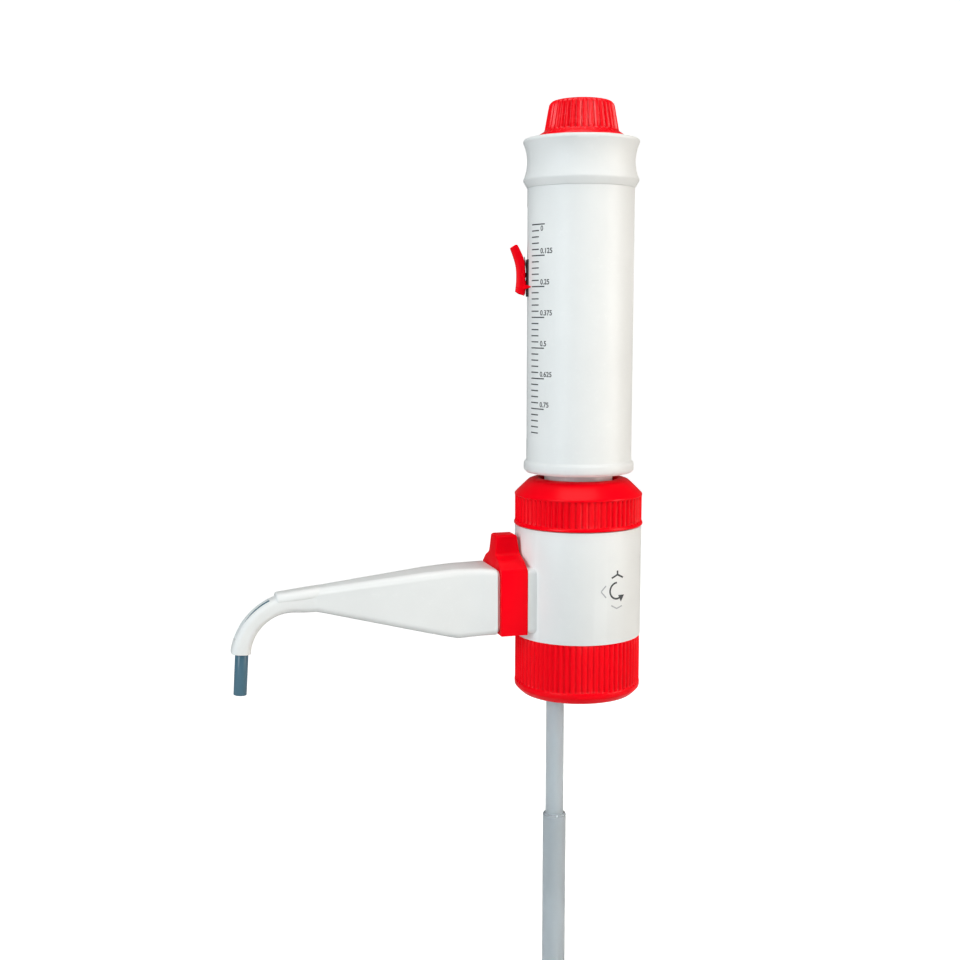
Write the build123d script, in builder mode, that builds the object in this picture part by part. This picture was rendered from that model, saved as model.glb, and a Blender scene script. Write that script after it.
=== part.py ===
from build123d import *
from math import asin, atan2, cos, degrees, hypot, pi, radians, sin, sqrt, tan
import os

# Bottle-top dispenser for a wide-neck laboratory bottle.
# Millimetres, +Z up. The origin is the centre of the bottle's lip, on the axis of the screw ring.
# The spout points to -X. Heights are measured from the lip.

# Clearances
slip = 0.08               # radial clearance of a piece that turns or slides on another
seat = 0.03               # radial clearance of pieces that are pushed together for good
end_gap = 0.2             # gap at the end of a turning or sliding piece

# Bottle connection: a 45 mm screw ring that turns freely under the head
thread_r = 22.75
skirt_depth = 18.7
crown_height = 7.0
collar_r = 27.2
collar_chamfer = 2.8
collar_plain_band = 5.1
collar_flutes = 68
flute_r = 0.62
gasket_height = 3.0
gasket_bore_r = 16.2
gasket_clearance = 0.15
spigot_r = 14.7
spigot_drop = 1.5
swivel_ring_height = 2.3

# Head of the dispenser
body_r = 27.2
body_height = 47.4
body_floor = 3.0
body_neck_r = 24.0
body_neck_height = 11.4
block_r = 20.0
block_height = 39.8
valve_height = 24.4
boss_half = 14.0
boss_corner = 2.5
boss_depth = 7.0

# Tubes that hang in the bottle
fill_offset = 9.9
fill_tube_r = 3.9
fill_tube_bore_r = 1.95
fill_tube_reach = 110.0
fill_tube_socket = 6.0
lower_tube_wall = 1.1
lower_tube_length = 110.0
lower_tube_overlap = 36.0
lower_foot_length = 12.0
lower_foot_slant = 4.0
return_tube_r = 2.0
return_tube_bore_r = 1.2
return_tube_x = -6.5
return_tube_y = 10.4
return_tube_reach = 15.0
return_tube_socket = 4.0

# Filling valve
inlet_seat_height = 3.0
inlet_hole_r = 1.6
inlet_ball_r = 2.4
inlet_chamber_r = 2.8
inlet_ball_lift = 1.5
passage_r = 1.6
cross_passage_end = 5.9

# Dosing valve: lever block, hollow plug and the fixed connector through it
lever_gap = 0.15
lever_depth = 11.55
lever_half = 14.0
lever_shoulder = 12.5
lever_corner = 1.2
lever_neck_half = 4.6
lever_top = 27.4
lever_top_half = 4.2
lever_slope = 1.9
lever_flare_in = 0.6      # the fin's foot: in from the block's side, and up from its shoulder
lever_flare_rise = 1.6
lever_curve_out = 4.0     # middle of the curve between the foot and the fin
lever_curve_rise = 3.6
lever_neck_rise = 7.0
lever_lean_start = 4.0    # where the front starts to lean, above the block
lever_back_start = 1.0
plug_r = 5.9
plug_inner_end = 13.2
plug_seal_wire_r = 0.9
plug_seal_depth = 1.26
plug_seal_first = 2.0
plug_seal_second = 8.0
connector_r = 3.4
connector_bore_r = 1.4
connector_start = 14.6
connector_barrel_r = 8.5
connector_barrel_start = 40.4
connector_barrel_length = 16.6

# Discharge valve inside the connector
outlet_seat_start = 42.5
outlet_seat_length = 2.5
outlet_bore_r = 2.4
outlet_ball_r = 2.2
outlet_spring_turns = 4
outlet_spring_wire_r = 0.22
outlet_spring_wire_sides = 6
outlet_spring_length = 4.4

# Spout
spout_lip = 1.2
spout_lip_set_back = 0.9
spout_edge_r = 3.0
tube_r = 2.45
tube_bore_r = 1.4
tube_socket = 3.0
tube_level_run = 4.0
tube_rise = 3.7           # degrees above level
tube_rise_bend_r = 40.0
tip_lean = 3.5            # degrees out of plumb, away from the bottle
tip_reach = 145.0
tip_height = 8.0
tip_length = 17.4
tip_r = 2.7
bend_r = 21.0
bend_half_width = 4.8
bend_inner_start = 4.9
bend_inner_end = 3.5
bend_outer_start = 3.2
bend_outer_end = 4.3
bend_outer_pinch = 2.8
bend_corner_share = 0.36  # corner radius as a share of the section's height
bend_steps = 6
slot_half = 2.75
slot_start = 66.0         # degrees round the bend, from level
slot_end = 14.0

# Clamp ring above the body
nut_r = 27.4
nut_band_r = 27.7
nut_band_height = 2.4
nut_height = 19.6
nut_cone_height = 5.9
nut_cone_width = 6.0
nut_opening_r = 17.0
nut_opening_rise = 1.0
nut_flutes = 64
nut_flute_top = 12.2

# Measuring cylinder and the tube that guides the sleeve
piston_r = 9.62
glass_wall = 1.6
glass_spare = 14.0
glass_seal_height = 1.0
glass_socket = 4.0
guide_r = 14.6
guide_bore_r = 12.0
guide_foot_r = 23.0
guide_foot_height = 3.0
stop_r = 17.6
stop_height = 2.0
cap_length = 8.0

# Scale: one tick is 0.025 fl oz
tick_pitch = 2.53
tick_count = 34
ticks_set = 10            # the volume that is set, counted in ticks
zero_below_top = 15.45
scale_margin = 17.53

# Sleeve and its head
sleeve_r = 22.5
sleeve_wall = 1.5
sleeve_gap = 2.2
bead_r = 23.55
bead_height = 5.2
bush_height = 5.6
bush_recess = 1.0
slot_width = 5.2
slot_corner_r = 0.3
slider_turn = 16.5        # degrees from the spout to the slot
head_lip_r = 24.4
head_lip_rise = 3.3
head_waist_r = 22.65
head_waist_rise = 11.6
head_shoulder_r = 24.3
head_shoulder_rise = 18.6
head_height = 20.2
head_top_r = 22.8
head_wall = 3.2
head_web = 4.2
head_plug_depth = 5.0
head_crown_round = 0.4

# Volume slider
pointer_to_top = 11.4
pointer_to_bottom = 4.0
saddle_height = 0.4
saddle_half = 5.0
slider_neck_up = 8.0
slider_neck_down = 3.5
foot_half = 4.5
foot_height_half = 3.0
foot_thickness = 1.6
neck_clearance = 0.1
nose_half = 2.4
nose_gap = 1.1
tongue_half = 1.3
tongue_r = 0.98
pin_rise = 5.0
pin_r = 0.5
pin_radius = 24.2
thumb_half = 3.5
thumb_groove_half = 1.5
thumb_edge_r = 0.5
thumb_long_edge = 15.0
pointer_tip_angle = 21.5
pointer_root_r = 24.4
pointer_root_half = 0.9
pointer_shoulder_half = 0.8
pointer_draw_in = 0.5
pointer_tip_lift = 0.24
pointer_tip_thickness = 0.24
pointer_tip_half = 0.12
spring_thickness = 0.3
spring_rise = 0.8
spring_reach = 1.2

# Knob on top
knob_flange_r = 18.4
knob_flange_height = 1.6
knob_flange_slope = 1.2
knob_base_r = 15.5
knob_base_rise = 3.5
knob_shoulder_r = 13.9
knob_shoulder_rise = 13.3
knob_dome_r = 9.5
knob_height = 15.6
knob_dome_out = 0.8       # the dome's bulge beyond a straight line
knob_dome_up = 0.6
knob_flutes = 36
stem_r = 7.0
stem_length = 7.0
clip_width = 2.0
clip_height = 1.2
insert_r = 5.0
insert_length = 14.0

# Piston and rod
piston_length = 12.0
piston_rest = 1.0
piston_seal_height = 3.0
piston_seal_depth = 1.05
rod_r = 4.0
rod_socket = 6.0
rod_screw_r = 2.9
rod_screw_length = 13.5
trim_room = 1.0

# Places that follow from the sizes above
web_bore_r = spigot_r + slip
body_bottom = crown_height + end_gap
body_top = body_bottom + body_height
neck_top = body_top + body_neck_height
block_bottom = body_bottom + body_floor
block_top = block_bottom + block_height
lever_near = collar_r + lever_gap
lever_far = lever_near + lever_depth
spout_root = lever_far + end_gap
stroke = tick_count * tick_pitch
nut_bottom = body_top + end_gap
nut_top = body_top + nut_height
sleeve_bottom = nut_top + nut_opening_rise + sleeve_gap
lowest_pointer = sleeve_bottom + scale_margin
zero_mark_height = lowest_pointer + stroke
sleeve_top = zero_mark_height + zero_below_top
sleeve_bore_r = sleeve_r - sleeve_wall
pointer_height = zero_mark_height - ticks_set * tick_pitch
glass_bottom = block_top - glass_socket + glass_seal_height
glass_bore_r = piston_r + slip
glass_r = glass_bore_r + glass_wall
glass_top = glass_bottom + piston_rest + piston_length + stroke + glass_spare
foot_top = neck_top + guide_foot_height
stop_bottom = zero_mark_height + foot_height_half + 1.5 * end_gap
guide_top = stop_bottom + stop_height
head_top = sleeve_top + head_height
knob_bottom = head_top + end_gap
knob_top = knob_bottom + knob_height
web_bottom = head_top - head_web
stem_bottom = knob_bottom - stem_length
piston_bottom = glass_bottom + piston_rest
piston_top = piston_bottom + piston_length
pin_height = pointer_height + pin_rise
saddle_r = sleeve_r + slip + saddle_height
lower_tube_r = fill_tube_r + slip + lower_tube_wall
lower_tube_top = lower_tube_overlap - fill_tube_reach
lower_tube_bottom = lower_tube_top - lower_tube_length

# The middle line of the spout's tube, seen from the side: (distance from the axis, height)
rise = radians(tube_rise)
lean = radians(tip_lean)
barrel_end = connector_barrel_start + connector_barrel_length
rise_line = (barrel_end + tube_level_run, valve_height)
tip_line = (tip_reach, tip_height)
corner_drop = (tip_line[0] - rise_line[0]) * sin(rise) + (rise_line[1] - tip_line[1]) * cos(rise)
corner_height = tip_height + corner_drop * cos(lean) / cos(rise + lean)
corner_reach = tip_reach - (corner_height - tip_height) * tan(lean)
bend_turn = pi / 2 + rise - lean
bend_leg = bend_r * tan(bend_turn / 2)
bend_start = (corner_reach - bend_leg * cos(rise), corner_height - bend_leg * sin(rise))
bend_centre = (bend_start[0] + bend_r * sin(rise), bend_start[1] - bend_r * cos(rise))
tube_start = barrel_end - tube_socket
tip_end = (tip_reach + tip_length * sin(lean), tip_height - tip_length * cos(lean))

# The slot's own plane: local X points out of the sleeve at the slot, local Z is up
slot_side = Plane(origin=(0, 0, 0), x_dir=(-cos(radians(slider_turn)), sin(radians(slider_turn)), 0))


def section(points, plane=Plane.XZ):
    """A closed outline of straight lines, as (radius, height) points."""
    with BuildSketch(plane) as outline:
        with BuildLine():
            Polyline(*points, close=True)
        make_face()
    return outline.sketch


def ring(inner_r, outer_r, low, high):
    """The section of a plain ring about the main axis."""
    return section([(inner_r, low), (outer_r, low), (outer_r, high), (inner_r, high)])


def rod_section(outer_r, low, high):
    """The section of a plain round bar on the main axis."""
    return section([(0, low), (outer_r, low), (outer_r, high), (0, high)])


def spout_plane(reach, height, turn=0.0):
    """A plane across the spout's line: local X is +Y, local Y points down, or in towards the bend."""
    return Plane(
        origin=(-reach, 0, height),
        x_dir=(0, 1, 0),
        z_dir=(-cos(turn), 0, -sin(turn)),
    )


def slot_plane(height):
    """A level plane whose local X points out of the sleeve at the slot."""
    return Plane(origin=(0, 0, height), x_dir=slot_side.x_dir, z_dir=(0, 0, 1))


# An upright plane through the slot: local X points out of the sleeve, local Y is up
slot_upright = Plane(origin=(0, 0, 0), x_dir=slot_side.x_dir, z_dir=slot_side.x_dir.cross(Vector(0, 0, 1)))
# The upright plane of the spout, seen from the side: local X points along the spout, local Y is up
spout_upright = Plane(origin=(0, 0, 0), x_dir=(-1, 0, 0), z_dir=(0, 1, 0))


# Bottle connection

with BuildPart() as bottle_collar:
    revolve(
        section([
            (thread_r, -skirt_depth),
            (collar_r - collar_chamfer, -skirt_depth),
            (collar_r, -skirt_depth + collar_chamfer),
            (collar_r, crown_height),
            (web_bore_r, crown_height),
            (web_bore_r, gasket_height),
            (thread_r, gasket_height),
        ]),
        axis=Axis.Z,
    )
    with BuildSketch(Plane.XY.offset(collar_plain_band - skirt_depth)):
        with PolarLocations(collar_r, collar_flutes):
            Circle(flute_r)
    extrude(amount=skirt_depth - collar_plain_band + crown_height, mode=Mode.SUBTRACT)
bottle_collar.part.label = "bottle_collar"

with BuildPart() as neck_gasket:
    revolve(ring(gasket_bore_r, thread_r - gasket_clearance, 0, gasket_height), axis=Axis.Z)
neck_gasket.part.label = "neck_gasket"

with BuildPart() as swivel_ring:
    ring_top = gasket_height - end_gap
    ring_outer_r = gasket_bore_r - end_gap
    revolve(ring(spigot_r + seat, ring_outer_r, ring_top - swivel_ring_height, ring_top), axis=Axis.Z)
swivel_ring.part.label = "swivel_ring"

# Head

with BuildPart() as body_shell:
    revolve(
        section([
            (spigot_r + seat, body_bottom),
            (body_r, body_bottom),
            (body_r, body_top),
            (body_neck_r, body_top),
            (body_neck_r, neck_top),
            (block_r + seat, neck_top),
            (block_r + seat, block_bottom),
            (spigot_r + seat, block_bottom),
        ]),
        axis=Axis.Z,
    )
    with BuildSketch(spout_plane(lever_near - lever_gap, valve_height)):
        RectangleRounded(2 * boss_half, 2 * boss_half, boss_corner)
    extrude(amount=-boss_depth)
    with BuildSketch(spout_plane(lever_near, valve_height)):
        Circle(plug_r + slip)
    extrude(amount=plug_inner_end - lever_near, mode=Mode.SUBTRACT)
body_shell.part.label = "body_shell"

inlet_seat_bottom = fill_tube_socket
inlet_seat_top = inlet_seat_bottom + inlet_seat_height
inlet_ball_rest = inlet_seat_top + sqrt(inlet_ball_r**2 - inlet_hole_r**2) + seat
inlet_chamber_top = inlet_ball_rest + inlet_ball_r + inlet_ball_lift + end_gap
passage_end = Vector(-fill_offset / 2, 0, glass_bottom)
passage_start = Vector(-fill_offset, 0, inlet_chamber_top - passage_r)

with BuildPart() as valve_block:
    revolve(
        section([
            (0, -spigot_drop),
            (spigot_r, -spigot_drop),
            (spigot_r, block_bottom),
            (block_r, block_bottom),
            (block_r, block_top),
            (glass_r + seat, block_top),
            (glass_r + seat, glass_bottom - glass_seal_height),
            (0, glass_bottom - glass_seal_height),
        ]),
        axis=Axis.Z,
    )
    with BuildSketch(Plane.XY.offset(-spigot_drop)):
        with Locations((-fill_offset, 0)):
            Circle(fill_tube_r + seat)
    extrude(amount=spigot_drop + inlet_seat_top, mode=Mode.SUBTRACT)
    with BuildSketch(Plane.XY.offset(inlet_seat_bottom)):
        with Locations((-fill_offset, 0)):
            Circle(inlet_chamber_r)
    extrude(amount=inlet_chamber_top - inlet_seat_bottom, mode=Mode.SUBTRACT)
    with BuildSketch(Plane(origin=passage_start, z_dir=passage_end - passage_start)):
        Circle(passage_r)
    extrude(amount=(passage_end - passage_start).length, mode=Mode.SUBTRACT)
    with BuildSketch(Plane.XY.offset(-spigot_drop)):
        with Locations((return_tube_x, return_tube_y)):
            Circle(return_tube_r + seat)
    extrude(amount=spigot_drop + return_tube_socket, mode=Mode.SUBTRACT)
    with BuildSketch(spout_plane(lever_near, valve_height)):
        Circle(plug_r + slip)
    extrude(amount=plug_inner_end - end_gap - lever_near, mode=Mode.SUBTRACT)
    with BuildSketch(spout_plane(plug_inner_end, valve_height)):
        Circle(passage_r)
    extrude(amount=cross_passage_end - plug_inner_end, mode=Mode.SUBTRACT)
valve_block.part.label = "valve_block"

with BuildPart() as inlet_valve_seat:
    with BuildSketch(Plane.XY.offset(inlet_seat_bottom)):
        with Locations((-fill_offset, 0)):
            Circle(fill_tube_r)
            Circle(inlet_hole_r, mode=Mode.SUBTRACT)
    extrude(amount=inlet_seat_height)
inlet_valve_seat.part.label = "inlet_valve_seat"

with BuildPart() as inlet_ball:
    with Locations((-fill_offset, 0, inlet_ball_rest)):
        Sphere(inlet_ball_r)
inlet_ball.part.label = "inlet_ball"

with BuildPart() as filling_tube:
    with BuildSketch(Plane.XY.offset(-fill_tube_reach)):
        with Locations((-fill_offset, 0)):
            Circle(fill_tube_r)
            Circle(fill_tube_bore_r, mode=Mode.SUBTRACT)
    extrude(amount=fill_tube_reach + inlet_seat_bottom)
filling_tube.part.label = "filling_tube"

with BuildPart() as filling_tube_lower:
    with BuildSketch(Plane.XY.offset(lower_tube_bottom)):
        with Locations((-fill_offset, 0)):
            Circle(lower_tube_r)
            Circle(fill_tube_bore_r, mode=Mode.SUBTRACT)
    extrude(amount=lower_tube_length)
    lower_tube_rim = filling_tube_lower.faces().sort_by(Axis.Z)[-1].outer_wire().edges()
    fillet(lower_tube_rim, radius=0.8 * lower_tube_wall)
    with BuildSketch(Plane.XY.offset(lower_tube_bottom + lower_foot_length)):
        with Locations((-fill_offset, 0)):
            Circle(fill_tube_r + slip)
    extrude(amount=lower_tube_length - lower_foot_length, mode=Mode.SUBTRACT)
    # The foot is cut on a slant so that it can't seal on the floor of the bottle
    foot_side = fill_offset + lower_tube_r + end_gap
    foot_other_side = fill_offset - lower_tube_r - end_gap
    slant = section([
        (-foot_side, lower_tube_bottom),
        (-foot_other_side, lower_tube_bottom),
        (-foot_other_side, lower_tube_bottom + lower_foot_slant),
    ])
    extrude(slant, amount=lower_tube_r + end_gap, both=True, mode=Mode.SUBTRACT)
filling_tube_lower.part.label = "filling_tube_lower"

with BuildPart() as return_tube:
    with BuildSketch(Plane.XY.offset(-return_tube_reach)):
        with Locations((return_tube_x, return_tube_y)):
            Circle(return_tube_r)
            Circle(return_tube_bore_r, mode=Mode.SUBTRACT)
    extrude(amount=return_tube_reach + return_tube_socket)
return_tube.part.label = "return_tube"

# Clamp ring

with BuildPart() as ring_nut:
    crown_under = foot_top + end_gap
    revolve(
        section([
            (body_neck_r + slip, nut_bottom),
            (nut_band_r, nut_bottom),
            (nut_band_r, nut_bottom + nut_band_height),
            (nut_r, nut_bottom + nut_band_height),
            (nut_r, nut_top - nut_cone_height),
            (nut_r - nut_cone_width, nut_top),
            (nut_opening_r, nut_top + nut_opening_rise),
            (nut_opening_r, crown_under),
            (body_neck_r + slip, crown_under),
        ]),
        axis=Axis.Z,
    )
    with BuildSketch(Plane.XY.offset(nut_bottom + nut_band_height)):
        with PolarLocations(nut_r, nut_flutes):
            Circle(flute_r)
    extrude(amount=nut_flute_top - nut_band_height, mode=Mode.SUBTRACT)
ring_nut.part.label = "ring_nut"

# Measuring cylinder and guide tube

with BuildPart() as guide_tube:
    revolve(
        section([
            (guide_bore_r, block_top),
            (guide_r, block_top),
            (guide_r, neck_top),
            (guide_foot_r, neck_top),
            (guide_foot_r, foot_top),
            (guide_r, foot_top),
            (guide_r, stop_bottom),
            (stop_r, stop_bottom),
            (stop_r, guide_top),
            (guide_bore_r, guide_top),
        ]),
        axis=Axis.Z,
    )
guide_tube.part.label = "guide_tube"

with BuildPart() as glass_cylinder:
    revolve(ring(glass_bore_r, glass_r, glass_bottom, glass_top), axis=Axis.Z)
    fillet(glass_cylinder.edges().filter_by(GeomType.CIRCLE).group_by(Axis.Z)[-1], radius=glass_wall / 4)
glass_cylinder.part.label = "glass_cylinder"

with BuildPart() as cylinder_seal:
    revolve(ring(glass_bore_r, glass_r, glass_bottom - glass_seal_height, glass_bottom), axis=Axis.Z)
cylinder_seal.part.label = "cylinder_seal"

with BuildPart() as cylinder_cap:
    cap_low = glass_top - cap_length
    revolve(
        section([
            (glass_r + seat, cap_low),
            (guide_bore_r - seat, cap_low),
            (guide_bore_r - seat, glass_top + glass_wall),
            (glass_bore_r, glass_top + glass_wall),
            (glass_bore_r, glass_top),
            (glass_r + seat, glass_top),
        ]),
        axis=Axis.Z,
    )
cylinder_cap.part.label = "cylinder_cap"

# Lever, plug and connector

with BuildPart() as valve_lever:
    # Seen along the spout: a square block whose top draws in to a thumb fin
    with BuildSketch(spout_plane(lever_near, 0)):
        with BuildLine():
            flare_foot = (lever_half - lever_flare_in, -(valve_height + lever_shoulder + lever_flare_rise))
            left_foot = (-flare_foot[0], flare_foot[1])
            base = -(valve_height - lever_half)
            shoulder = -(valve_height + lever_shoulder)
            neck_start = -(valve_height + lever_half + lever_neck_rise)
            neck_mid = -(valve_height + lever_half + lever_curve_rise)
            crest = -(valve_height + lever_top)
            Polyline(
                (-lever_half, shoulder),
                (-lever_half, base),
                (lever_half, base),
                (lever_half, shoulder),
            )
            Line((lever_half, shoulder), flare_foot)
            Spline(
                flare_foot,
                (lever_neck_half + lever_curve_out, neck_mid),
                (lever_neck_half, neck_start),
                tangents=[(-1.0, -0.55), (-0.05, -1.0)],
            )
            Line((lever_neck_half, neck_start), (lever_top_half, crest))
            Line((lever_top_half, crest), (-lever_top_half, crest))
            Line((-lever_top_half, crest), (-lever_neck_half, neck_start))
            Spline(
                (-lever_neck_half, neck_start),
                (-lever_neck_half - lever_curve_out, neck_mid),
                left_foot,
                tangents=[(-0.05, 1.0), (-1.0, 0.55)],
            )
            Line(left_foot, (-lever_half, shoulder))
        make_face()
    extrude(amount=lever_depth)
    # Seen from the side: the fin leans away from the body
    with BuildSketch(spout_upright):
        with BuildLine():
            Polyline(
                (lever_near, valve_height - lever_half),
                (lever_far, valve_height - lever_half),
                (lever_far, valve_height + lever_half + lever_lean_start),
                (lever_far - lever_slope / 2, valve_height + lever_top),
                (lever_near + lever_slope, valve_height + lever_top),
                (lever_near, valve_height + lever_half + lever_back_start),
                close=True,
            )
        make_face()
    extrude(amount=lever_half, both=True, mode=Mode.INTERSECT)
    crest_edges = valve_lever.edges().group_by(Axis.Z)[-1]
    fillet(crest_edges, radius=lever_corner)
    with BuildSketch(spout_plane(lever_near, valve_height)):
        Circle(plug_r + seat)
    extrude(amount=lever_depth, mode=Mode.SUBTRACT)
valve_lever.part.label = "valve_lever"

with BuildPart() as valve_spindle:
    with BuildSketch(spout_plane(plug_inner_end, valve_height)):
        Circle(plug_r)
        Circle(connector_r + slip, mode=Mode.SUBTRACT)
    extrude(amount=lever_far - plug_inner_end)
    seal_seats = [plug_inner_end + plug_seal_first, plug_inner_end + plug_seal_second]
    for reach in seal_seats:
        with BuildSketch(spout_plane(reach, valve_height)):
            Circle(plug_r + slip)
            Circle(plug_r - plug_seal_depth, mode=Mode.SUBTRACT)
        extrude(amount=2 * plug_seal_wire_r + 2 * seat, mode=Mode.SUBTRACT)
valve_spindle.part.label = "valve_spindle"

with BuildPart() as spindle_seals:
    for reach in seal_seats:
        with BuildSketch(spout_plane(reach + seat, valve_height)):
            Circle(plug_r + slip / 2)
            Circle(plug_r - plug_seal_depth + seat, mode=Mode.SUBTRACT)
        extrude(amount=2 * plug_seal_wire_r)
spindle_seals.part.label = "spindle_seals"

outlet_seat_end = outlet_seat_start + outlet_seat_length

with BuildPart() as discharge_connector:
    with BuildSketch(spout_plane(connector_start, valve_height)):
        Circle(connector_r)
    extrude(amount=connector_barrel_start - connector_start)
    with BuildSketch(spout_plane(connector_barrel_start, valve_height)):
        Circle(connector_barrel_r)
    extrude(amount=connector_barrel_length)
    with BuildSketch(spout_plane(connector_start, valve_height)):
        Circle(connector_bore_r)
    extrude(amount=outlet_seat_start - connector_start, mode=Mode.SUBTRACT)
    with BuildSketch(spout_plane(outlet_seat_start, valve_height)):
        Circle(outlet_bore_r)
    extrude(amount=barrel_end - outlet_seat_start, mode=Mode.SUBTRACT)
    with BuildSketch(spout_plane(tube_start, valve_height)):
        Circle(tube_r + slip)
    extrude(amount=tube_socket, mode=Mode.SUBTRACT)
discharge_connector.part.label = "discharge_connector"

with BuildPart() as outlet_valve_seat:
    with BuildSketch(spout_plane(outlet_seat_start, valve_height)):
        Circle(outlet_bore_r - seat)
        Circle(connector_bore_r, mode=Mode.SUBTRACT)
    extrude(amount=outlet_seat_length)
outlet_valve_seat.part.label = "outlet_valve_seat"

outlet_ball_rest = outlet_seat_end + sqrt(outlet_ball_r**2 - connector_bore_r**2) + seat

with BuildPart() as outlet_ball:
    with Locations((-outlet_ball_rest, 0, valve_height)):
        Sphere(outlet_ball_r)
outlet_ball.part.label = "outlet_ball"

spring_start = outlet_ball_rest + outlet_ball_r + seat + outlet_spring_wire_r
spring_r = outlet_bore_r - seat - outlet_spring_wire_r

with BuildPart() as outlet_spring:
    with BuildLine():
        coil = Helix(
            pitch=outlet_spring_length / outlet_spring_turns,
            height=outlet_spring_length,
            radius=spring_r,
            center=(-spring_start, 0, valve_height),
            direction=(-1, 0, 0),
        )
    with BuildSketch(Plane(origin=coil @ 0, z_dir=coil % 0)):
        RegularPolygon(outlet_spring_wire_r, outlet_spring_wire_sides)
    sweep(is_frenet=True)
outlet_spring.part.label = "outlet_spring"

# Spout

# The cover's stations from its root to the bend: reach, underside, top, half width
spout_stations = [
    (spout_root + spout_lip, valve_height - 13.7, valve_height + 14.2, 13.2),
    (46.0, valve_height - 14.3, valve_height + 14.5, 11.0),
    (56.0, valve_height - 15.1, valve_height + 14.6, 9.4),
    (68.0, valve_height - 12.4, valve_height + 13.9, 8.5),
    (114.0, valve_height - 1.0, valve_height + 9.2, 5.4),
]

with BuildLine(spout_upright) as tube_line:
    FilletPolyline(
        (tube_start, valve_height),
        rise_line,
        (corner_reach, corner_height),
        tip_end,
        radius=[tube_rise_bend_r, bend_r],
    )

with BuildPart() as spout_cover:
    for reach, low, high, half in spout_stations:
        with BuildSketch(spout_plane(reach, (low + high) / 2)):
            RectangleRounded(2 * half, high - low, spout_edge_r)
    loft(ruled=True)
    with BuildSketch(spout_plane(reach, (low + high) / 2)):
        RectangleRounded(2 * half, high - low, spout_edge_r)
    # Round the bend the sections turn with the tube, and the last one is the cover's end
    for step in range(bend_steps + 2):
        share = min(step / bend_steps, 1)
        angle = pi / 2 + rise - bend_turn * share
        inner = bend_inner_start + (bend_inner_end - bend_inner_start) * share
        outer = bend_outer_start + (bend_outer_end - bend_outer_start) * share**2
        outer -= bend_outer_pinch * share * (1 - share)
        middle = (outer - inner) / 2
        on_tube = (bend_centre[0] + bend_r * cos(angle), bend_centre[1] + bend_r * sin(angle))
        if step > bend_steps:
            on_tube = tip_line
        reach = on_tube[0] + middle * cos(angle)
        height = on_tube[1] + middle * sin(angle)
        with BuildSketch(spout_plane(reach, height, pi / 2 - angle)):
            RectangleRounded(2 * bend_half_width, inner + outer, bend_corner_share * (inner + outer))
    loft()
    root_low = spout_stations[0][1] + spout_lip_set_back
    root_high = spout_stations[0][2] - spout_lip_set_back
    root_half = spout_stations[0][3] - spout_lip_set_back
    with BuildSketch(spout_plane(spout_root, (root_low + root_high) / 2)):
        RectangleRounded(2 * root_half, root_high - root_low, spout_edge_r)
    extrude(amount=spout_lip)
    with BuildSketch(spout_plane(spout_root, valve_height)):
        Circle(connector_barrel_r + seat)
    extrude(amount=barrel_end + seat - spout_root, mode=Mode.SUBTRACT)
    with BuildSketch(spout_plane(tube_start, valve_height)):
        Circle(tube_r + seat)
    sweep(path=tube_line.line, mode=Mode.SUBTRACT)
    # The slot that shows the tube along the outside of the bend
    with BuildSketch(spout_upright):
        with BuildLine():
            slot_floor = CenterArc(bend_centre, bend_r, slot_end, slot_start - slot_end)
            slot_rim = CenterArc(bend_centre, bend_r + 2 * tube_r, slot_end, slot_start - slot_end)
            Line(slot_floor @ 0, slot_rim @ 0)
            Line(slot_floor @ 1, slot_rim @ 1)
        make_face()
    extrude(amount=slot_half, both=True, mode=Mode.SUBTRACT)
spout_cover.part.label = "spout_cover"

with BuildPart() as discharge_tube:
    with BuildSketch(spout_plane(tube_start, valve_height)):
        Circle(tube_r)
    sweep(path=tube_line.line)
    tip_out = Vector(-sin(lean), 0, -cos(lean))
    with BuildSketch(Plane(origin=Vector(-tip_reach, 0, tip_height) + tip_out * end_gap, z_dir=tip_out)):
        Circle(tip_r)
    extrude(amount=tip_length - end_gap)
    with BuildSketch(spout_plane(tube_start, valve_height)):
        Circle(tube_bore_r)
    sweep(path=tube_line.line, mode=Mode.SUBTRACT)
discharge_tube.part.label = "discharge_tube"

# Sleeve

slot_top = zero_mark_height + slider_neck_up + end_gap
slot_bottom = lowest_pointer - slider_neck_down - end_gap

with BuildPart() as sleeve:
    revolve(
        section([
            (sleeve_bore_r, sleeve_bottom),
            (sleeve_r, sleeve_bottom),
            (bead_r, sleeve_bottom + bead_r - sleeve_r),
            (bead_r, sleeve_bottom + bead_height - bead_r + sleeve_r),
            (sleeve_r, sleeve_bottom + bead_height),
            (sleeve_r, sleeve_top),
            (sleeve_bore_r, sleeve_top),
        ]),
        axis=Axis.Z,
    )
    bead_edges = sleeve.edges().filter_by(
        lambda edge: edge.geom_type == GeomType.CIRCLE and abs(edge.radius - bead_r) < 0.001
    )
    fillet(bead_edges, radius=0.8 * (bead_r - sleeve_r))
    slot_wall = Plane(
        origin=slot_side.x_dir * (sleeve_bore_r - sleeve_wall),
        x_dir=(0, 0, 1),
        z_dir=slot_side.x_dir,
    )
    with BuildSketch(slot_wall):
        with Locations(((slot_bottom + slot_top) / 2, 0)):
            RectangleRounded(slot_top - slot_bottom, slot_width, slot_corner_r)
    extrude(amount=3 * sleeve_wall, mode=Mode.SUBTRACT)
sleeve.part.label = "sleeve"

with BuildPart() as guide_bush:
    bush_bottom = sleeve_bottom + bush_recess
    revolve(ring(guide_r + slip, sleeve_bore_r - seat, bush_bottom, bush_bottom + bush_height), axis=Axis.Z)
guide_bush.part.label = "guide_bush"

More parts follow.
